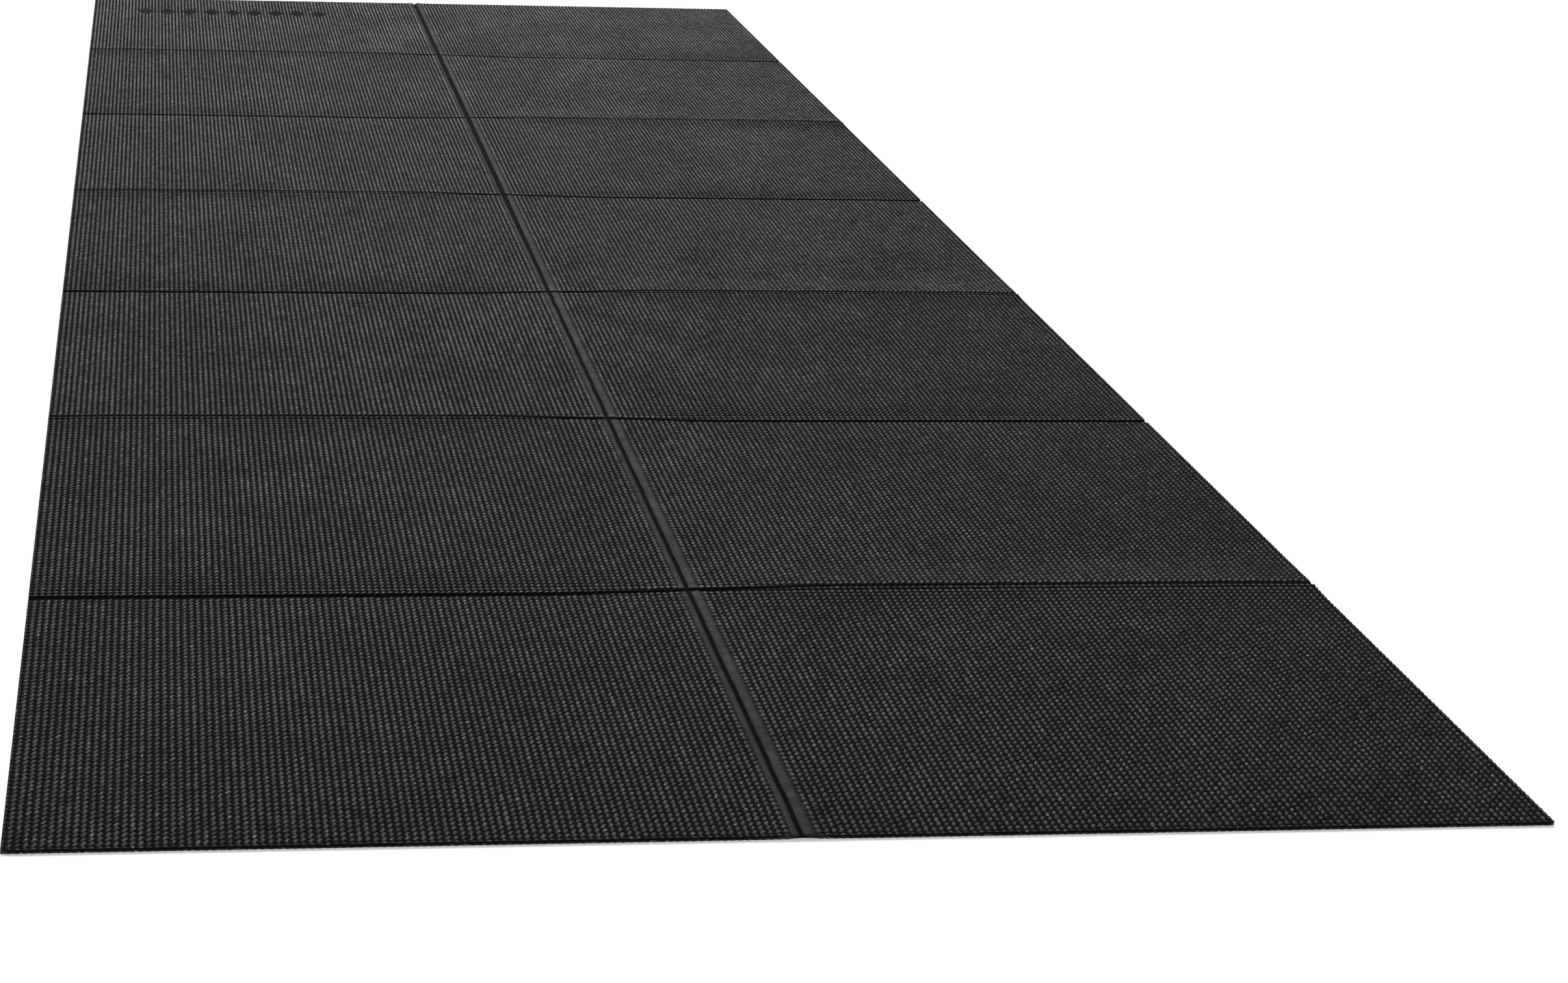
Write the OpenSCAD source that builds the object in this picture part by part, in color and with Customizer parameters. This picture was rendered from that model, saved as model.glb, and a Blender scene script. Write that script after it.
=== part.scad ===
// Folding gym mat: a thin sheet of foam moulded round a woven scrim, pressed with fold lines into
// two columns of panels. It folds in half down its length, then row by row like a concertina.
// Millimetres. The sheet lies flat: +X across it, +Y along it, +Z up. The origin is at the middle
// of the underside. Rows count from the -Y end.

/* [Sheet] */
// Width of the open mat
mat_w = 610; // [500:1:1000]
// Length of the open mat
mat_l = 1729; // [1200:1:2400]
// Thickness of the foam, with its raised texture
mat_t = 2; // [2:0.1:6]

/* [Fold lines] */
// Width of the pressed strip down the middle
centre_strip_w = 10; // [6:0.5:16]
// Width of each pressed strip across the mat
cross_strip_w = 8; // [5:0.5:14]
// Thickness of the foam in a pressed strip
strip_t = 1.2; // [0.6:0.1:1.5]

/* [Scrim] */
// Thickness of the woven sheet inside the foam
scrim_t = 0.3; // [0.2:0.05:0.4]
// Foam under the scrim
scrim_z = 0.8; // [0.5:0.05:0.9]
// Sealed foam round the scrim of each panel
scrim_margin = 3; // [1:0.5:8]

/* [Sunk ornament] */
// Lozenges in the row
lozenge_count = 9; // [3:1:9]
// Width of one lozenge
lozenge_w = 17; // [8:0.5:19]
// Length of one lozenge
lozenge_l = 30; // [12:0.5:50]
// Distance between the middles of two lozenges
lozenge_pitch = 20; // [20:0.5:22]
// Depth of the ornament in the top face
lozenge_depth = 0.5; // [0.2:0.05:0.5]
// Middle of the row from the left edge of the mat, as a share of a panel's width
ornament_across = 0.42; // [0.4:0.01:0.5]
// Middle of the row from the far end of the mat, as a share of a panel's length
ornament_back = 0.27; // [0.2:0.01:0.6]

/* [Hidden] */
ROWS = 7;
LAST_CREASE = ROWS - 1;
SIDES = ["near", "far"];

half_w = mat_w / 2;
half_centre_strip = centre_strip_w / 2;
half_cross_strip = cross_strip_w / 2;
row_l = mat_l / ROWS;
panel_w = half_w - half_centre_strip;

foam_colour = [0.06, 0.06, 0.065];
strip_colour = [0.03, 0.03, 0.033];
scrim_colour = [0.55, 0.55, 0.52];

// Where a row starts. Crease n lies at the start of row n + 1.
function row_y(row) = (row - 1) * row_l - mat_l / 2;

// The panel's own ends: a free end of the mat has no pressed strip.
function near_inset(row) = row == 1 ? 0 : half_cross_strip;
function far_inset(row) = row == ROWS ? 0 : half_cross_strip;

// A block of one panel's thick foam, between its pressed strips, at x from x0 over width w.
module thick_foam(row, x0, w, z0, h, margin = 0) {
    y0 = row_y(row) + near_inset(row) + margin;
    y1 = row_y(row + 1) - far_inset(row) - margin;
    translate([x0 + margin, y0, z0])
        cube([w - 2 * margin, y1 - y0, h]);
}

module scrim_block(row, x0) {
    thick_foam(row, x0, panel_w, scrim_z, scrim_t, scrim_margin);
}

module ornament() {
    first_x = -half_w + ornament_across * half_w - (lozenge_count - 1) / 2 * lozenge_pitch;
    y = mat_l / 2 - ornament_back * row_l;
    for (n = [0:lozenge_count - 1])
        translate([first_x + n * lozenge_pitch, y, mat_t - lozenge_depth])
            linear_extrude(height = 2 * lozenge_depth)
                polygon([
                    [-lozenge_w / 2, 0],
                    [0, -lozenge_l / 2],
                    [lozenge_w / 2, 0],
                    [0, lozenge_l / 2]
                ]);
}

// Foam of one left-hand panel, round its scrim. The last row carries the sunk ornament.
module left_panel(row) {
    color(foam_colour)
        difference() {
            thick_foam(row, -half_w, panel_w, 0, mat_t);
            scrim_block(row, -half_w);
            if (row == ROWS)
                ornament();
        }
}

// Foam of one right-hand panel, round its scrim.
module right_panel(row) {
    color(foam_colour)
        difference() {
            thick_foam(row, half_centre_strip, panel_w, 0, mat_t);
            scrim_block(row, half_centre_strip);
        }
}

module left_scrim(row) {
    color(scrim_colour)
        scrim_block(row, -half_w);
}

module right_scrim(row) {
    color(scrim_colour)
        scrim_block(row, half_centre_strip);
}

// One row's length of the pressed strip down the middle of the mat.
module centre_strip(row) {
    color(strip_colour)
        translate([-half_centre_strip, row_y(row), 0])
            cube([centre_strip_w, row_l, strip_t]);
}

// The pressed strip between two left-hand panels.
module cross_strip(crease) {
    color(strip_colour)
        translate([-half_w, row_y(crease + 1) - half_cross_strip, 0])
            cube([panel_w, cross_strip_w, strip_t]);
}

// The pressed strip between two right-hand panels is cut along its fold. The near half stays on the
// panel before the crease, and the far half on the panel after it.
module right_half_strip(crease, side) {
    y0 = row_y(crease + 1) + (side == "far" ? 0 : -half_cross_strip);
    color(strip_colour)
        translate([half_centre_strip, y0, 0])
            cube([panel_w, half_cross_strip, strip_t]);
}

for (row = [1:ROWS]) {
    left_panel(row);
    right_panel(row);
    left_scrim(row);
    right_scrim(row);
    centre_strip(row);
}
for (crease = [1:LAST_CREASE]) {
    cross_strip(crease);
    for (side = SIDES)
        right_half_strip(crease, side);
}
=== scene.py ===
import math

import bpy
import numpy as np
from mathutils import Euler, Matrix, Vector


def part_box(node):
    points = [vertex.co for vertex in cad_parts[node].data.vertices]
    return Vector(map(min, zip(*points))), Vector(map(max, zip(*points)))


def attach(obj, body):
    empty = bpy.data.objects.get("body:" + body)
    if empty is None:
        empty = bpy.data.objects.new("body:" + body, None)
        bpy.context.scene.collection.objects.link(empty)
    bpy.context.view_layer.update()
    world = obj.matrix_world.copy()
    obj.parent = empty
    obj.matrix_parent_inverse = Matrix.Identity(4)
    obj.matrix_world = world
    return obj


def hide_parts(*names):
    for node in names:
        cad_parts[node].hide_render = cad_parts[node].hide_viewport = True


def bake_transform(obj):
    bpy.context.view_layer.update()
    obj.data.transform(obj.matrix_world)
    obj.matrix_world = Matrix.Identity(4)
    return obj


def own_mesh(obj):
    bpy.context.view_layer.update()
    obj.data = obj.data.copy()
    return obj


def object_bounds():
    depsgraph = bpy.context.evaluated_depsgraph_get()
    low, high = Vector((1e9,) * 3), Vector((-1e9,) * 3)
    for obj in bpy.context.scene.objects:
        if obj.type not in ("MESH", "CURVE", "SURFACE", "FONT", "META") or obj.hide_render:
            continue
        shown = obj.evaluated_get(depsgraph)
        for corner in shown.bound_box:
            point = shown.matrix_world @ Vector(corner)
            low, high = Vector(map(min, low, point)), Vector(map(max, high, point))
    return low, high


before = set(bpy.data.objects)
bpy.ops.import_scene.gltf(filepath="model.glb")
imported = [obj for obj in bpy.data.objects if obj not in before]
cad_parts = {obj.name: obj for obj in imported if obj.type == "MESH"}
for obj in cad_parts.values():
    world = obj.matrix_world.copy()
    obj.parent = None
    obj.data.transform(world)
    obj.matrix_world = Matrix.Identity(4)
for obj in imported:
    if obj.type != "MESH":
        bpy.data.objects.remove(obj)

MM = 0.001
cad_low, cad_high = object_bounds()


# ---------------------------------------------------------------- sizes, in millimetres

def node_box(node):
    low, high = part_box(node)
    return np.array(low) / MM, np.array(high) / MM


HALF_W = cad_high.x / MM
HALF_L = cad_high.y / MM
FOAM_T = node_box("left_panel_1")[1][2]
HALF_CENTRE = node_box("centre_strip_1")[1][0]
FOLD_LOW, FOLD_HIGH = node_box("cross_strip_1")
HALF_CROSS = (FOLD_HIGH[1] - FOLD_LOW[1]) / 2
ROWS = sum(1 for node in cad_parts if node.startswith("left_panel_"))
CREASES = ROWS - 1
ROW_L = 2 * HALF_L / ROWS
PANEL_W = HALF_W - HALF_CENTRE

# The raised texture: ribs along the mat, each cut into beads. The steps are the mesh's grid lines for
# each rib and bead.
RIBS = 98.5
BEADS = 66
RIB_PITCH = PANEL_W / RIBS
BEAD_PITCH = ROW_L / BEADS
RIB_STEPS = 4
BEAD_STEPS = 3
RIB_ROUNDNESS = 1.9
GROOVE_DEPTH = 0.75
UNDER_GROOVE = 0.2

# The gaps between beads, and how much of a gap's depth there is on top of its rib. BRIDGE is how much
# of a groove's depth there is beside the middle of a bead.
BEAD_GAP = 0.6
BEAD_GAP_SPREAD = 0.16
GAP_SHARPNESS = 1.7
TOP_NOTCH = 0.7
BRIDGE = 0.8

# How beads differ in height, and how far grooves and gaps stray, over how many beads. BRAID is how far
# a gap leans along its rib, as a share of a bead.
BEAD_HEIGHT_SPREAD = 0.04
LOWEST_BEAD = -0.08
HIGHEST_BEAD = 0.06
GROOVE_WANDER = 0.2
GROOVE_WANDER_BEADS = 3
BEAD_WANDER = 1.2
BEAD_WANDER_BEADS = 4
BEAD_JITTER = 0.15
BRAID = 0.22

# The slope beside a fold that faces the near end: where it is, how much deeper its gaps are, and
# how much lighter its beads are painted, a painted light that stands in for the light on its tilt.
FLANK_PLACE = 9.0
FLANK_REACH = 13.0
FLANK_GAP = 0.35
FLANK_PAINTED_LIGHT = 0.8

# How the sheet lies after it has been folded: raised along some creases and low along others.
SHEET_LIFT = 0.35
FREE_EDGE_REACH = 22.0
VALLEY_DROP = 0.35
VALLEY_REACH = 10.0
RIDGE_LIFT = 0.5
RIDGE_REACH = 12.0
CENTRE_LIFT = 0.2
CENTRE_REACH = 14.0
CENTRE_CREST = 0.3
CENTRE_CREST_REACH = 7.0
CREST_LIFT = 0.55
CROSSING_REACH = 70.0

# The depth below the beads' tops at which the foam is painted fully shaded, a painted shade in the
# hollows, and how much of the depth of the smooth band down the middle doesn't count.
HOLLOW_DEPTH = 0.8
BAND_LIT = 0.6

# The stored values of the underside and the walls, which have no beads. The underside gets a little
# of the painted shade.
UNDER_HOLLOW_SHADE = 0.3
UNDER_TONE = 0.5

# The pressed fold lines. Each bows a little inside its strip, and its far edge gets a painted
# highlight. Ribs and beads stop straying near a line and near the edge of a piece: the CALM distances.
LINE_SHIFT = 2.5
CREST_BEYOND_LINE = 0.8
LINE_DEPTH = 1.2
LINE_HALF_W = 1.5
LINE_CLEAR = 2.2
LINE_CALM = 2.5
EDGE_CALM = 3.0
HIGHLIGHT_PLACE = 3.2
HIGHLIGHT_HALF_W = 1.5
HIGHLIGHT_TONE = 6.0
LEFT_HIGHLIGHT = 0.7

# The slope behind a ridge of the right column, where the foam is pulled smooth and painted shade
# darkens it.
SLOPE_PLACE = 20.0
SLOPE_REACH = 15.0
SLOPE_SOFTENS = 0.4
SLOPE_PAINTED_SHADE = 0.14

# The smooth band down the middle: its raised edges, and the line pressed in it.
BAND_PRESS = 0.5
BAND_HEM = 0.42
LEFT_HEM_PLACE = 4.0
LEFT_HEM_HALF_W = 1.0
RIGHT_HEM_PLACE = 3.0
RIGHT_HEM_HALF_W = 1.7
CENTRE_LINE_PLACE = -1.1
CENTRE_LINE_DEPTH = 1.0
CENTRE_LINE_NEAR_W = 0.8
CENTRE_LINE_WIDENS = 0.8

# The thinnest foam.
THINNEST = 0.3

# The sunk ornament, the same as in the CAD.
LOZENGES = 9
LOZENGE_W = 17.0
LOZENGE_L = 30.0
LOZENGE_PITCH = 20.0
LOZENGE_DEPTH = 0.5
LOZENGE_EDGE = 1.0
ORNAMENT_ACROSS = 0.42
ORNAMENT_BACK = 0.27
ORNAMENT_X = -HALF_W + ORNAMENT_ACROSS * HALF_W
ORNAMENT_Y = HALF_L - ORNAMENT_BACK * ROW_L

# The grid of each piece: the closest that two lines may be, the spacing in a strip, the lines across
# the middle band, and how many of the top's lines the underside skips. TINY and DIGITS are there for
# rounding errors.
CLOSEST_LINES = 0.2
STRIP_STEP = 0.4
BAND_LINES = 29
UNDER_SKIP = 2
UNDER_LONG_SKIP = 12
LONG_PIECE_LINES = 60
TINY = 0.01
DIGITS = 6

SEED = 20
rng = np.random.default_rng(SEED)


# ---------------------------------------------------------------- the shape of the sheet

def ease(t):
    t = np.clip(t, 0.0, 1.0)
    return t * t * (3 - 2 * t)


def bell(distance, reach):
    """1 where the distance is 0, and close to 0 from about twice the reach."""
    return np.exp(-((distance / reach) ** 2))


def crease_y(k):
    return k * ROW_L - HALF_L


def slow_noise(rows, columns, step):
    """Smooth random rows between -1 and 1, with a new value every so many columns."""
    knots = rng.uniform(-1, 1, (rows, columns // step + 3))
    at = np.arange(columns) / step
    i = at.astype(int)
    t = ease(at - i)
    return knots[:, i] * (1 - t) + knots[:, i + 1] * t


ALL_BEADS = ROWS * BEADS + 2
ALL_RIBS = int(RIBS) + 3
bead_high = rng.normal(0, BEAD_HEIGHT_SPREAD, (2, ALL_RIBS, ALL_BEADS))
bead_high = bead_high.clip(LOWEST_BEAD, HIGHEST_BEAD)
gap_depth = BEAD_GAP + rng.uniform(-1, 1, (2, ALL_RIBS, ALL_BEADS)) * BEAD_GAP_SPREAD
groove_side = np.stack([slow_noise(ALL_RIBS, ALL_BEADS, GROOVE_WANDER_BEADS) for _ in range(2)])
groove_side *= GROOVE_WANDER
bead_tone = rng.uniform(0, 1, (2, ALL_RIBS, ALL_BEADS))
bead_along = np.stack([slow_noise(ALL_RIBS, ALL_BEADS, BEAD_WANDER_BEADS) for _ in range(2)])
bead_along *= BEAD_WANDER
bead_along += rng.uniform(-1, 1, (2, ALL_RIBS, ALL_BEADS)) * BEAD_JITTER


def nearest_crease(y):
    """The number of the nearest crease, and the distance from it to y."""
    k = np.clip(np.round((y + HALF_L) / ROW_L), 1, CREASES).astype(int)
    return k, y - crease_y(k)


def is_ridge(side, k):
    """Odd creases are valleys on the left and ridges on the right, and even ones the reverse."""
    left_ridge = (k % 2 == 0).astype(float)
    return np.where(side < 0, left_ridge, 1 - left_ridge)


def ridge_share(x, k):
    """From 0, a valley, to 1, a ridge. The two columns differ, so it crosses over at the middle."""
    right = ease(0.5 + x / (2 * CROSSING_REACH))
    return is_ridge(-1, k) * (1 - right) + is_ridge(1, k) * right


def lift(x, y):
    """How far the sheet stands off the floor."""
    to_side = HALF_W - np.abs(x)
    to_end = HALF_L - np.abs(y)
    inside = 1 - bell(np.minimum(to_side, to_end), FREE_EDGE_REACH)
    k, dy = nearest_crease(y)
    away = ease(np.abs(x) / CROSSING_REACH)
    ridge = is_ridge(x, k)
    valley = -VALLEY_DROP * bell(dy, VALLEY_REACH) * inside
    hill = RIDGE_LIFT * bell(dy, RIDGE_REACH)
    middle = CENTRE_LIFT * bell(x, CENTRE_REACH)
    middle += CENTRE_CREST * np.clip(1 - np.abs(x) / CENTRE_CREST_REACH, 0, 1)
    return SHEET_LIFT * inside + away * (ridge * hill + (1 - ridge) * valley) + middle


def crest(x, y):
    """The sharp fold on top of a ridge, all of it inside the pressed strip."""
    k, dy = nearest_crease(y)
    peak = line_shift(x, k) + CREST_BEYOND_LINE
    near = (dy + HALF_CROSS) / (peak + HALF_CROSS)
    far = (HALF_CROSS - dy) / (HALF_CROSS - peak)
    across = ease(np.minimum(near, far))
    away = ease((np.abs(x) - HALF_CENTRE) / CROSSING_REACH)
    return CREST_LIFT * across * is_ridge(x, k) * away


def ribs_across(x):
    """How many ribs it is to the band down the middle, rounded so that no grid line is in doubt."""
    return np.round((np.abs(x) - HALF_CENTRE) / RIB_PITCH, DIGITS)


def rib_height(x):
    """0 in a groove between two ribs and in the band down the middle, and 1 on a rib."""
    across = ribs_across(x)
    u = across - np.floor(across)
    return np.where(across < 0, 0.0, 1 - np.abs(2 * u - 1) ** RIB_ROUNDNESS)


def from_rib_middle(x):
    """From -1 to 1 across a rib, and the same way round on both sides of the mat."""
    across = ribs_across(x)
    return np.sign(x) * (2 * (across - np.floor(across)) - 1)


def notch(x):
    """How deep the gap between two beads is: shallow on top of the rib and deep on its shoulders."""
    t = np.abs(from_rib_middle(x))
    return (TOP_NOTCH + (1 - TOP_NOTCH) * np.clip(2 * t, 0, 1)) * np.clip(2 - 2 * t, 0, 1)


def grid_parts(x, y):
    """A point's side, rib, bead and nearest gap, and its place between the bead's two gaps, 0 to 1."""
    side = (x > 0).astype(int)
    rib = np.clip(np.floor(ribs_across(x)), 0, ALL_RIBS - 1).astype(int)
    along = np.round((y + HALF_L) / BEAD_PITCH + 0.5, DIGITS)
    bead = np.clip(np.floor(along), 0, ALL_BEADS - 1).astype(int)
    v = along - np.floor(along)
    gap = np.clip(np.round(along), 0, ALL_BEADS - 1).astype(int)
    return side, rib, bead, gap, v


def line_shift(x, k):
    """The pressed line bows a little towards the low side."""
    return LINE_SHIFT * (2 * ridge_share(x, k) - 1)


def from_line(x, y):
    """The distance from the pressed line, which wanders inside its strip."""
    k, dy = nearest_crease(y)
    return dy - line_shift(x, k)


def flank(x, y):
    """The slope beside a fold that faces the near end, where the gaps are deeper and the beads are
    painted lighter.
    """
    k, dy = nearest_crease(y)
    place = FLANK_PLACE * (1 - 2 * is_ridge(x, k))
    return bell(dy - place, FLANK_REACH) * ease(np.abs(x) / CROSSING_REACH)


def far_slope(x, y):
    """The slope behind a ridge of the right column, where the foam is pulled smooth and painted
    darker.
    """
    k, dy = nearest_crease(y)
    return is_ridge(x, k) * ease(x / CROSSING_REACH) * bell(dy - SLOPE_PLACE, SLOPE_REACH)


def fold_edge_highlight(x, y):
    """The far edge of a fold line, with a painted highlight, most of all in the right column."""
    column = LEFT_HIGHLIGHT + (1 - LEFT_HIGHLIGHT) * ease(x / CROSSING_REACH)
    return column * bell(from_line(x, y) - HIGHLIGHT_PLACE, HIGHLIGHT_HALF_W)


def lozenge_mask(x, y):
    """1 in a sunk lozenge, and 0 outside it."""
    mask = np.zeros_like(x)
    edge = math.hypot(LOZENGE_W, LOZENGE_L) / (LOZENGE_W * LOZENGE_L) * 2
    for n in range(LOZENGES):
        middle = ORNAMENT_X + (n - (LOZENGES - 1) / 2) * LOZENGE_PITCH
        inside = 1 - np.abs(x - middle) * 2 / LOZENGE_W - np.abs(y - ORNAMENT_Y) * 2 / LOZENGE_L
        mask = np.maximum(mask, ease(inside / edge * 2 / LOZENGE_EDGE))
    return mask


def centre_band(x):
    """1 in the smooth band down the middle, and 0 outside it."""
    return ease((HALF_CENTRE + RIB_PITCH / 2 - np.abs(x)) / RIB_PITCH)


def centre_hems(x):
    """The raised edges of the smooth band: a narrow one on its left and a broad one on its right."""
    left = bell(x + LEFT_HEM_PLACE, LEFT_HEM_HALF_W)
    right = bell(x - RIGHT_HEM_PLACE, RIGHT_HEM_HALF_W)
    return BAND_HEM * np.maximum(left, right)


def centre_line(x, y):
    """The depth of the line pressed down the middle, which widens towards the far end."""
    half_w = CENTRE_LINE_NEAR_W + CENTRE_LINE_WIDENS * ease((y + HALF_L / 4) / (HALF_L / 2))
    return CENTRE_LINE_DEPTH * np.exp(-(((x - CENTRE_LINE_PLACE) / half_w) ** 4))


def top(x, y):
    side, rib, bead, gap, v = grid_parts(x, y)
    high = rib_height(x)
    line = np.abs(from_line(x, y))
    clear = ease((line - LINE_HALF_W) / (LINE_CLEAR - LINE_HALF_W))
    between = np.abs(2 * v - 1) ** GAP_SHARPNESS
    ribs = -GROOVE_DEPTH * (1 - high) * (BRIDGE + (1 - BRIDGE) * between)
    gaps = gap_depth[side, rib, gap] + FLANK_GAP * flank(x, y)
    beads = high * (1 - between) * bead_high[side, rib, bead] - notch(x) * between * gaps
    ribs, beads = (part * (1 - SLOPE_SOFTENS * far_slope(x, y)) for part in (ribs, beads))
    band = centre_band(x)
    rough = (ribs + beads) * (1 - band) + (centre_hems(x) - BAND_PRESS) * band
    pressed = -BAND_PRESS
    z = pressed + (rough - pressed) * clear
    sunk = lozenge_mask(x, y)
    z = z * (1 - sunk) - LOZENGE_DEPTH * sunk
    cross_line = LINE_DEPTH * bell(line, LINE_HALF_W)
    z -= np.maximum(cross_line, centre_line(x, y))
    thinnest = UNDER_GROOVE * (1 - high) + THINNEST
    return np.maximum(FOAM_T + z, thinnest) + lift(x, y) + crest(x, y)


def under(x, y):
    return lift(x, y) + crest(x, y) + UNDER_GROOVE * (1 - rib_height(x))


def wander(x, y, free):
    """Small sideways moves that keep the ribs and beads from looking ruled."""
    side, rib, bead, gap, _ = grid_parts(x, y)
    high = rib_height(x)
    dx = (1 - high) * groove_side[side, rib, bead]
    dy = high * bead_along[side, rib, gap] * (1 - flank(x, y))
    dy += BRAID * BEAD_PITCH * np.sin(np.pi * from_rib_middle(x)) * (np.abs(x) > HALF_CENTRE)
    return dx * free, dy * free


# ---------------------------------------------------------------- meshes

def lines_between(low, high, steps):
    """Grid lines from low to high that include both ends, kept a little apart."""
    inner = [s for s in steps if low + CLOSEST_LINES < s < high - CLOSEST_LINES]
    return np.array([low, *inner, high])


RIB_LINES = HALF_CENTRE + np.arange(int(RIBS * RIB_STEPS) + 1) * RIB_PITCH / RIB_STEPS
ROW_BEAD_LINES = (np.arange(BEADS * BEAD_STEPS + 1) / BEAD_STEPS - 0.5) * BEAD_PITCH
STRIP_LINES = np.arange(-HALF_CROSS, HALF_CROSS + TINY, STRIP_STEP)
CENTRE_LINES = np.linspace(-HALF_CENTRE, HALF_CENTRE, BAND_LINES)


def row_lines(row):
    """Grid lines along one row, between its strips."""
    start = crease_y(row - 1)
    low = start + (HALF_CROSS if row > 1 else 0)
    high = start + ROW_L - (HALF_CROSS if row < ROWS else 0)
    return lines_between(low, high, start + ROW_BEAD_LINES)


def mirrored(lines, side):
    return lines if side > 0 else -lines[::-1]


def sheet_mesh(name, xs, ys, material):
    """A closed piece of the sheet over a grid: a fine top, a coarser underside, and four walls."""
    nx, ny = len(xs), len(ys)
    x, y = np.meshgrid(xs, ys)
    free = np.minimum.reduce([x - xs[0], xs[-1] - x, y - ys[0], ys[-1] - y])
    free = ease(free / EDGE_CALM) * ease((np.abs(from_line(x, y)) - LINE_HALF_W / 2) / LINE_CALM)
    dx, dy = wander(x, y, free)
    z = top(x, y)
    upper = np.stack([x + dx, y + dy, z], -1)
    below = FOAM_T + lift(x, y) + crest(x, y) - z - BAND_LIT * BAND_PRESS * centre_band(x)
    # Painted shade: the deeper below the beads' tops, the darker, and more on the slope behind a
    # right-column ridge.
    hollow_shade = np.clip(below / HOLLOW_DEPTH + SLOPE_PAINTED_SHADE * far_slope(x, y), 0, 1)

    skip = UNDER_LONG_SKIP if ny > LONG_PIECE_LINES else UNDER_SKIP
    pick_x = np.unique(np.append(np.arange(0, nx, UNDER_SKIP), nx - 1))
    pick_y = np.unique(np.append(np.arange(0, ny, skip), ny - 1))
    lower_x, lower_y = x[np.ix_(pick_y, pick_x)], y[np.ix_(pick_y, pick_x)]
    lower = np.stack([lower_x, lower_y, under(lower_x, lower_y)], -1)

    def quads(rows, columns, first, flip):
        i = np.arange(rows * columns).reshape(rows, columns) + first
        a, b, c, d = i[:-1, :-1], i[:-1, 1:], i[1:, 1:], i[1:, :-1]
        order = (a, d, c, b) if flip else (a, b, c, d)
        return np.stack(order, -1).reshape(-1, 4).tolist()

    my, mx = len(pick_y), len(pick_x)
    t = np.arange(ny * nx).reshape(ny, nx)
    b = np.arange(my * mx).reshape(my, mx) + ny * nx
    walls = [
        [*b[0], *t[0][::-1]],
        [*t[-1], *b[-1][::-1]],
        [*t[:, 0], *b[:, 0][::-1]],
        [*b[:, -1], *t[:, -1][::-1]],
    ]
    walls = [[int(v) for v in wall] for wall in walls]
    grid_faces = quads(ny, nx, 0, False) + quads(my, mx, ny * nx, True)
    points = np.concatenate([upper.reshape(-1, 3), lower.reshape(-1, 3)]) * MM

    mesh = bpy.data.meshes.new(name)
    mesh.from_pydata(points.tolist(), [], grid_faces + walls)
    smooth = np.ones(len(grid_faces) + len(walls), bool)
    smooth[len(grid_faces):] = False
    mesh.polygons.foreach_set("use_smooth", smooth)
    rest = mesh.attributes.new("rest_place", "FLOAT_VECTOR", "POINT")
    rest.data.foreach_set("vector", points.astype(np.float32).ravel())
    side, rib, bead, _, _ = grid_parts(x, y)
    # Each bead's random tone, with painted light on the slopes that face the near end.
    tone = bead_tone[side, rib, bead] + FLANK_PAINTED_LIGHT * flank(x, y)
    # A painted highlight along the far edge of each fold line.
    tone += HIGHLIGHT_TONE * fold_edge_highlight(x, y)
    for attribute, values, on_underside in (
        ("hollow_shade", hollow_shade, UNDER_HOLLOW_SHADE), ("bead_tone", tone, UNDER_TONE)
    ):
        stored_values = mesh.attributes.new(attribute, "FLOAT", "POINT")
        values = np.append(values, np.full(lower_x.size, on_underside))
        stored_values.data.foreach_set("value", values.astype(np.float32))
    mesh.materials.append(material)
    mesh.validate()
    mesh.update()
    piece = bpy.data.objects.new(name, mesh)
    bpy.context.scene.collection.objects.link(piece)
    return piece


# ---------------------------------------------------------------- materials

# The colour of the painted shade in the hollows and fold lines.
HOLLOW_SHADE_COLOUR = (0.0006, 0.0006, 0.0006, 1)
# The colour of the painted glints on the foam's skin.
GLINT_COLOUR = (0.26, 0.26, 0.263, 1)
FOAM_SPECULAR = 0.1

# Where the shade of the hollows starts and is full, and the roughness that it adds.
HOLLOW_RANGE = (0.1, 0.7)
HOLLOW_ROUGH = 0.6

# The scales of the foam's noises, in repeats per millimetre.
PORES = 1.3
GLINT_SPECKS = 0.8
MOTTLE = 0.2
DRIFT = 0.03
PATCHES = 0.012

# How the foam's noises are mixed: the first one's share, and the part of a noise's range that is used.
FINE_SHARE = 0.6
GRAIN_SHARE = 0.5
GRAIN_RANGE = (0.38, 0.64)
DRIFT_RANGE = (0.3, 0.7)
DRIFT_TONE = 0.2
GLINT_RANGE = (0.6, 0.72)
MOTTLE_SHARE = 0.7
GLOSS_RANGE = (0.35, 0.65)

# The scrim's threads, about 2 mm apart, and their fuzz: the scales of the textures per millimetre.
THREADS = 0.16
THREAD_BEND = 0.4
THREAD_FUZZ = 1.2
FUZZ_SHARE = 0.3
FUZZ_RANGE = (0.3, 0.7)
WEAVE_RANGE = (0.3, 1.1)
THREAD_COLOUR = (0.5, 0.5, 0.47)
BETWEEN_THREADS = (0.05, 0.05, 0.048)
THREAD_ROUGHNESS = (0.7, 0.9)
WEAVE_DEPTH = 0.12


def new_material(name):
    material = bpy.data.materials.new(name)
    material.use_nodes = True
    tree = material.node_tree
    tree.nodes.clear()
    shader = tree.nodes.new("ShaderNodeBsdfPrincipled")
    output = tree.nodes.new("ShaderNodeOutputMaterial")
    tree.links.new(shader.outputs["BSDF"], output.inputs["Surface"])
    return material, tree, shader


def stored(tree, name, output):
    node = tree.nodes.new("ShaderNodeAttribute")
    node.attribute_name = name
    return node.outputs[output]


def noise(tree, place, per_mm, detail=3.0, roughness=0.55):
    node = tree.nodes.new("ShaderNodeTexNoise")
    node.inputs["Scale"].default_value = per_mm / MM
    node.inputs["Detail"].default_value = detail
    node.inputs["Roughness"].default_value = roughness
    tree.links.new(place, node.inputs["Vector"])
    return node.outputs["Fac"]


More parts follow.
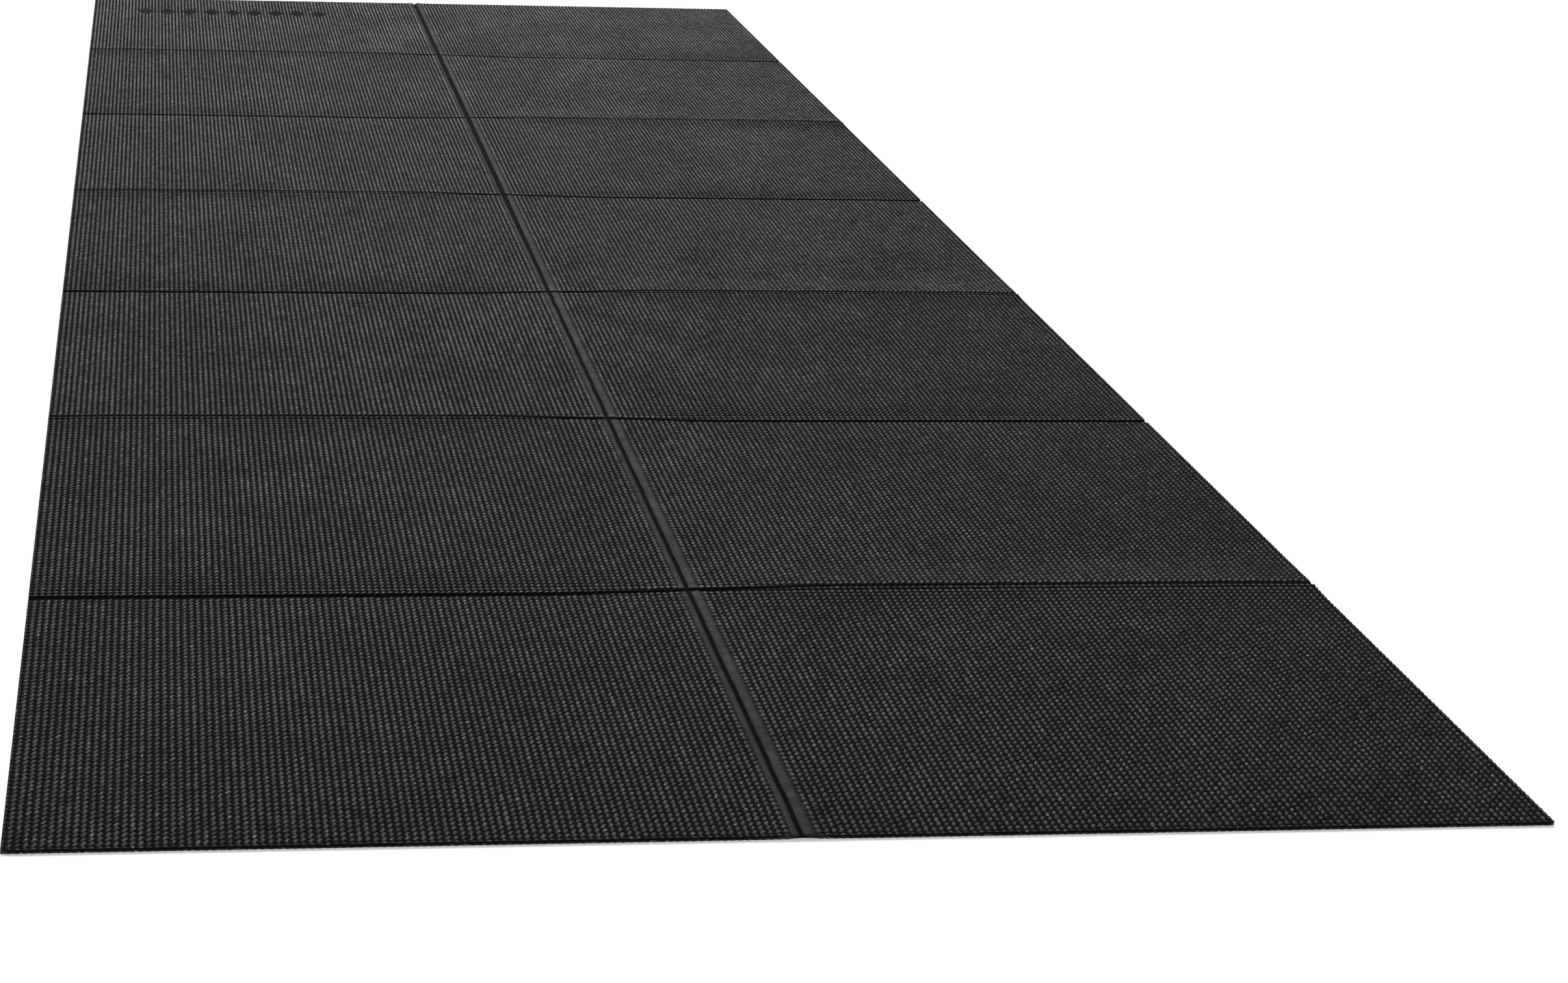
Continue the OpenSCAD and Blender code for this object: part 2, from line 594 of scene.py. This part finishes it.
def ramp(tree, value, within, to=(0.0, 1.0)):
    """The value, eased from one range to another."""
    node = tree.nodes.new("ShaderNodeMapRange")
    node.interpolation_type = "SMOOTHSTEP"
    for name, number in zip(("From Min", "From Max", "To Min", "To Max"), (*within, *to)):
        node.inputs[name].default_value = number
    tree.links.new(value, node.inputs["Value"])
    return node.outputs["Result"]


def mix(tree, share, dark, light):
    node = tree.nodes.new("ShaderNodeMix")
    node.data_type = "RGBA"
    node.clamp_factor = False
    node.inputs["A"].default_value = (*dark, 1)
    node.inputs["B"].default_value = (*light, 1)
    tree.links.new(share, node.inputs["Factor"])
    return node.outputs["Result"]


def maths(tree, operation, a, b):
    node = tree.nodes.new("ShaderNodeMath")
    node.operation = operation
    for socket, value in ((node.inputs[0], a), (node.inputs[1], b)):
        if isinstance(value, (int, float)):
            socket.default_value = value
        else:
            tree.links.new(value, socket)
    return node.outputs["Value"]


def blend_of(tree, a, b, share):
    """A share of a, and the rest from b."""
    some_a = maths(tree, "MULTIPLY", a, share)
    some_b = maths(tree, "MULTIPLY", b, 1 - share)
    return maths(tree, "ADD", some_a, some_b)


def cover(tree, colour, share, other):
    """The colour, with a share of one other colour over it."""
    node = tree.nodes.new("ShaderNodeMix")
    node.data_type = "RGBA"
    node.inputs["B"].default_value = other
    tree.links.new(colour, node.inputs["A"])
    tree.links.new(share, node.inputs["Factor"])
    return node.outputs["Result"]


def bump(tree, height, distance_mm):
    node = tree.nodes.new("ShaderNodeBump")
    node.inputs["Strength"].default_value = 1.0
    node.inputs["Distance"].default_value = distance_mm * MM
    tree.links.new(height, node.inputs["Height"])
    return node.outputs["Normal"]


def foam_material(name, dark, light, roughness, pore_depth, painted_glints):
    """Closed foam with a thin skin: fine pores, faint mottling, shinier patches, painted shade in the
    hollows, painted light from the stored bead tone, and painted glints.
    """
    material, tree, shader = new_material(name)
    place = stored(tree, "rest_place", "Vector")
    hollow_shade = stored(tree, "hollow_shade", "Fac")
    fine = noise(tree, place, PORES, detail=4.0, roughness=0.65)
    mottle = noise(tree, place, MOTTLE)
    patches = noise(tree, place, PATCHES, detail=2.0)
    grain = ramp(tree, blend_of(tree, fine, mottle, FINE_SHARE), GRAIN_RANGE)
    # The stored bead tone carries the painted light of the near-facing slopes and the painted
    # highlight along the fold lines.
    tone = blend_of(tree, grain, stored(tree, "bead_tone", "Fac"), GRAIN_SHARE)
    drift = ramp(tree, noise(tree, place, DRIFT), DRIFT_RANGE, (-DRIFT_TONE, DRIFT_TONE))
    skin = mix(tree, maths(tree, "ADD", tone, drift), dark, light)
    # Painted glints: light specks over the skin, in place of highlights.
    glint_share = ramp(tree, noise(tree, place, GLINT_SPECKS, detail=2.0), GLINT_RANGE, (0.0, painted_glints))
    skin = cover(tree, skin, glint_share, GLINT_COLOUR)
    # Painted shade in the hollows and the pressed lines.
    skin = cover(tree, skin, ramp(tree, hollow_shade, HOLLOW_RANGE), HOLLOW_SHADE_COLOUR)
    tree.links.new(skin, shader.inputs["Base Color"])
    gloss = blend_of(tree, mottle, patches, MOTTLE_SHARE)
    skin_rough = ramp(tree, gloss, GLOSS_RANGE, roughness)
    hollow_rough = ramp(tree, hollow_shade, HOLLOW_RANGE, (0.0, HOLLOW_ROUGH))
    rough = maths(tree, "ADD", skin_rough, hollow_rough)
    tree.links.new(maths(tree, "MINIMUM", rough, 1.0), shader.inputs["Roughness"])
    tree.links.new(bump(tree, fine, pore_depth), shader.inputs["Normal"])
    shader.inputs["Specular IOR Level"].default_value = FOAM_SPECULAR
    return material


def scrim_material():
    """An open plain weave: two sets of threads that cross."""
    material, tree, shader = new_material("scrim_weave")
    place = tree.nodes.new("ShaderNodeTexCoord").outputs["Object"]
    threads = []
    for direction in ("X", "Y"):
        wave = tree.nodes.new("ShaderNodeTexWave")
        wave.bands_direction = direction
        wave.inputs["Scale"].default_value = THREADS / MM
        wave.inputs["Distortion"].default_value = THREAD_BEND
        tree.links.new(place, wave.inputs["Vector"])
        threads.append(wave.outputs["Fac"])
    weave = maths(tree, "MAXIMUM", *threads)
    fuzz = noise(tree, place, THREAD_FUZZ)
    height = maths(tree, "ADD", weave, maths(tree, "MULTIPLY", fuzz, FUZZ_SHARE))
    colour = mix(tree, ramp(tree, height, WEAVE_RANGE), BETWEEN_THREADS, THREAD_COLOUR)
    tree.links.new(colour, shader.inputs["Base Color"])
    tree.links.new(ramp(tree, fuzz, FUZZ_RANGE, THREAD_ROUGHNESS), shader.inputs["Roughness"])
    tree.links.new(bump(tree, height, WEAVE_DEPTH), shader.inputs["Normal"])
    return material


foam = foam_material(
    "textured_foam",
    dark=(0.002, 0.002, 0.0021),
    light=(0.048, 0.048, 0.0487),
    roughness=(0.33, 0.52),
    pore_depth=0.3,
    painted_glints=1.0,
)
pressed = foam_material(
    "pressed_foam",
    dark=(0.008, 0.008, 0.0081),
    light=(0.027, 0.027, 0.0274),
    roughness=(0.66, 0.8),
    pore_depth=0.12,
    painted_glints=0.15,
)
weave = scrim_material()


# ---------------------------------------------------------------- the pieces

def finish_piece(piece, slot, *nodes):
    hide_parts(*nodes)


for row in range(1, ROWS + 1):
    ys = row_lines(row)
    for side_name, side in (("left", -1), ("right", 1)):
        panel = sheet_mesh(f"foam_{side_name}_{row}", mirrored(RIB_LINES, side), ys, foam)
        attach(panel, f"{side_name}_{row}")
        finish_piece(panel, "foam", f"{side_name}_panel_{row}")

        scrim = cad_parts[f"{side_name}_scrim_{row}"]
        scrim.data.materials.clear()
        scrim.data.materials.append(weave)

    start = crease_y(row - 1)
    near = [start + STRIP_LINES[STRIP_LINES > -TINY]] if row > 1 else []
    far = [start + ROW_L + STRIP_LINES[STRIP_LINES < TINY]] if row < ROWS else []
    spine_ys = np.unique(np.round(np.concatenate([*near, ys, *far]), 5))
    spine = sheet_mesh(f"centre_fold_strip_{row}", CENTRE_LINES, spine_ys, pressed)
    finish_piece(spine, "pressed_foam", f"centre_strip_{row}")
    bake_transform(spine)

for k in range(1, CREASES + 1):
    y = crease_y(k)
    fold = sheet_mesh(f"left_fold_{k}", mirrored(RIB_LINES, -1), y + STRIP_LINES, foam)
    finish_piece(fold, "pressed_foam", f"cross_strip_{k}")
    ends = [
        (f"left_{k}", (0, (y - HALF_CROSS) * MM, 0)),
        (f"left_{k + 1}", (0, (y + HALF_CROSS) * MM, 0)),
    ]
    if k % 2 == 0:
        # For an even fold the two ends are listed the other way round.
        ends.reverse()
    (body_a, start), (body_b, end) = ends
    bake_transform(fold)
    for half_name, lines, body in (
        ("near", STRIP_LINES[STRIP_LINES < TINY], k),
        ("far", STRIP_LINES[STRIP_LINES > -TINY], k + 1),
    ):
        half_fold = sheet_mesh(f"right_fold_{half_name}_{k}", RIB_LINES, y + lines, foam)
        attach(half_fold, f"right_{body}")
        finish_piece(half_fold, "pressed_foam", f"right_strip_{half_name}_{k}")
        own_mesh(half_fold)


# ---------------------------------------------------------------- floor, light and camera

# The floor, in metres, a little below the mat. Its faint glow keeps it white in the picture.
FLOOR_HALF = 40.0
FLOOR_Z = -0.0004
FLOOR_GLOW = 0.35
FLOOR_DARK = (0.86, 0.86, 0.86)
FLOOR_LIGHT = (0.88, 0.88, 0.88)
FLOOR_MOTTLE = 0.004

# The strength of the world's light on the mat.
WORLD_LIGHT = 0.1

# Each sun's name, azimuth, elevation and width in degrees, and strength. Azimuth 0 shines from the
# near end and 90 from the right.
SUNS = (
    ("key_left", -104, 20, 8, 1.8),
    ("overhead", -150, 62, 30, 1.3),
    ("far_end", 172, 26, 12, 1.22),
    ("near_right", 45, 24, 30, 1.2),
)

CAMERA_LENS = 63.78
CAMERA_SHIFT = 0.18
CAMERA_PLACE = (-0.2457, -1.7990, 0.4912)
CAMERA_TURN = (69.723, -2.285, -6.638)


def floor_material():
    material, tree, shader = new_material("studio_floor")
    place = tree.nodes.new("ShaderNodeTexCoord").outputs["Object"]
    tone = noise(tree, place, FLOOR_MOTTLE, detail=2.0)
    tree.links.new(mix(tree, tone, FLOOR_DARK, FLOOR_LIGHT), shader.inputs["Base Color"])
    shader.inputs["Roughness"].default_value = 0.9
    shader.inputs["Specular IOR Level"].default_value = 0.1
    shader.inputs["Emission Color"].default_value = (1, 1, 1, 1)
    shader.inputs["Emission Strength"].default_value = FLOOR_GLOW
    return material


corners = [
    (x * FLOOR_HALF, y * FLOOR_HALF, FLOOR_Z) for x, y in ((-1, -1), (1, -1), (1, 1), (-1, 1))
]
floor_mesh = bpy.data.meshes.new("studio_floor")
floor_mesh.from_pydata(corners, [], [(0, 1, 2, 3)])
floor_mesh.materials.append(floor_material())
floor = bpy.data.objects.new("studio_floor", floor_mesh)
bpy.context.scene.collection.objects.link(floor)


def sun(name, azimuth, elevation, softness, power):
    """A far lamp, as wide as its softness in degrees."""
    data = bpy.data.lights.new(name, "SUN")
    data.energy = power
    data.angle = math.radians(softness)
    light = bpy.data.objects.new(name, data)
    bpy.context.scene.collection.objects.link(light)
    a, e = math.radians(azimuth), math.radians(elevation)
    towards = Vector((math.sin(a) * math.cos(e), -math.cos(a) * math.cos(e), math.sin(e)))
    light.rotation_euler = towards.to_track_quat("Z", "Y").to_euler()


def studio_world():
    """A white backdrop for the camera, and a dimmer one for the light that falls on the mat."""
    world = bpy.data.worlds.new("studio")
    world.use_nodes = True
    tree = world.node_tree
    light = tree.nodes["Background"]
    light.inputs["Color"].default_value = (1, 1, 1, 1)
    light.inputs["Strength"].default_value = WORLD_LIGHT
    backdrop = tree.nodes.new("ShaderNodeBackground")
    backdrop.inputs["Color"].default_value = (1, 1, 1, 1)
    backdrop.inputs["Strength"].default_value = 1.0
    path = tree.nodes.new("ShaderNodeLightPath")
    either = tree.nodes.new("ShaderNodeMixShader")
    tree.links.new(path.outputs["Is Camera Ray"], either.inputs[0])
    tree.links.new(light.outputs["Background"], either.inputs[1])
    tree.links.new(backdrop.outputs["Background"], either.inputs[2])
    tree.links.new(either.outputs["Shader"], tree.nodes["World Output"].inputs["Surface"])
    bpy.context.scene.world = world


studio_world()
bpy.context.scene.view_settings.view_transform = "Standard"
for light in SUNS:
    sun(*light)

camera_data = bpy.data.cameras.new("camera")
camera_data.sensor_width = 36
camera_data.lens = CAMERA_LENS
camera_data.shift_x = CAMERA_SHIFT
camera_data.clip_end = 200
camera = bpy.data.objects.new("camera", camera_data)
camera.location = CAMERA_PLACE
camera.rotation_euler = Euler([math.radians(a) for a in CAMERA_TURN], "XYZ")
bpy.context.scene.collection.objects.link(camera)
bpy.context.scene.camera = camera
